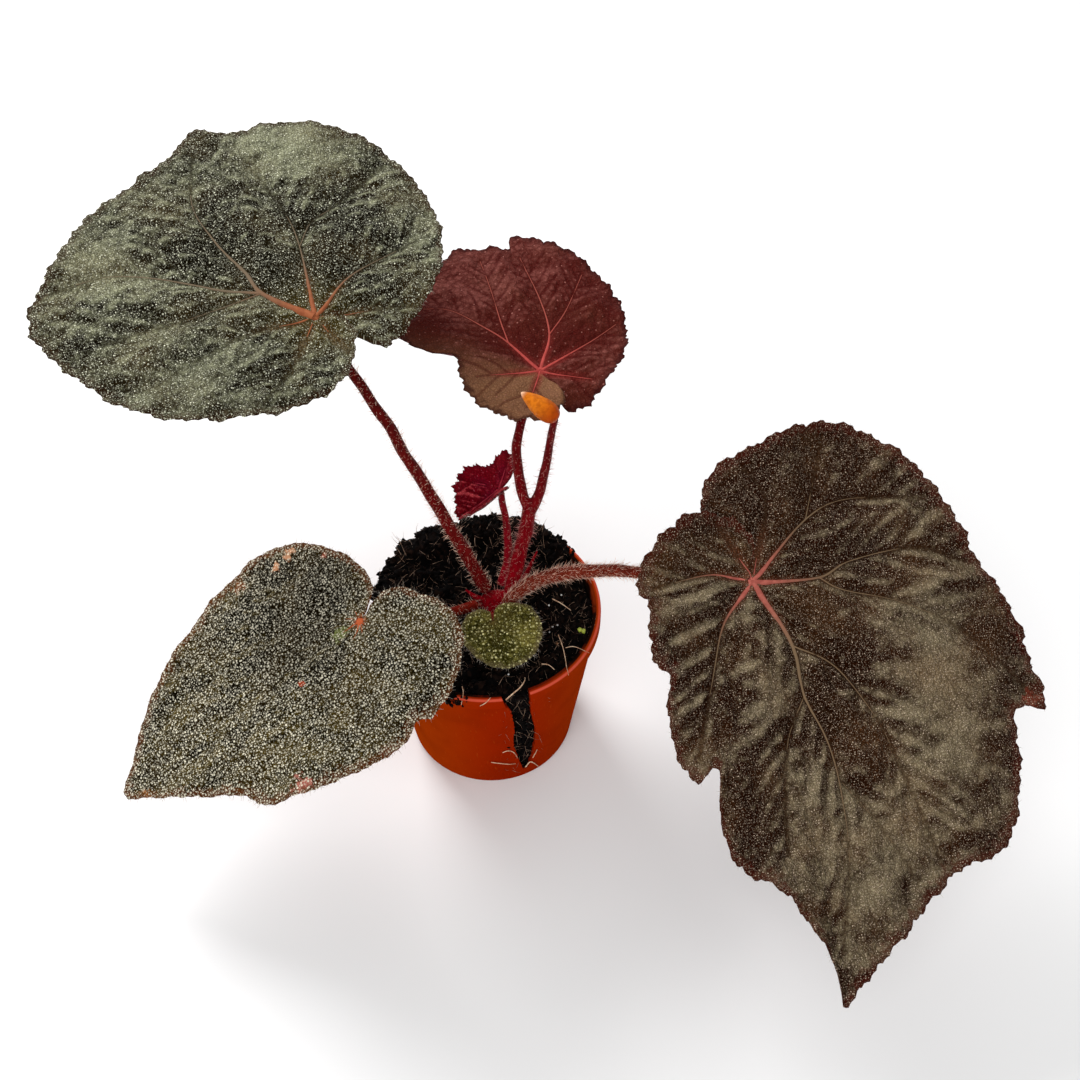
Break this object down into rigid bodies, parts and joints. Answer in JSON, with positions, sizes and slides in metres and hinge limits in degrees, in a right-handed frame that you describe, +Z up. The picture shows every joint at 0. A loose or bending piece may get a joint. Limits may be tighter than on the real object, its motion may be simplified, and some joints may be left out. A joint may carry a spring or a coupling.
{
  "type": "potted begonia",
  "caption": "Young rhizomatous begonia with hairy stalks and speckled, puckered leaves, growing in peat in a small nursery pot with a split wall.",
  "frame": {"origin": "middle of the pot's underside, on the surface that it stands on", "axes": "+Z up; the split in the pot's wall faces -Y and a little towards +X; +X towards the largest leaf"},
  "size_m": [0.281, 0.2151, 0.176],
  "materials": {
    "pot": "satin",
    "peat": "matte",
    "stem": "satin",
    "stalk": "satin",
    "leaf_silver": "satin",
    "leaf_burgundy": "satin",
    "leaf_brown": "satin",
    "leaf_speckled": "satin",
    "leaf_green": "satin",
    "leaf_magenta": "satin",
    "bud": "satin"
  },
  "bodies": {
    "root": {"pot": "pot", "soil": "peat", "main_stem": "stem", "stalk_upper_left": "stalk", "stalk_right": "stalk", "stalk_lower_left": "stalk", "stalk_small_green": "stalk", "stalk_small_red": "stem", "blade_upper_left": "leaf_silver", "blade_burgundy": "leaf_burgundy", "blade_right": "leaf_brown", "blade_lower_left": "leaf_speckled", "blade_small_green": "leaf_green", "blade_small_red": "leaf_magenta", "bud": "bud"}
  },
  "joints": []
}
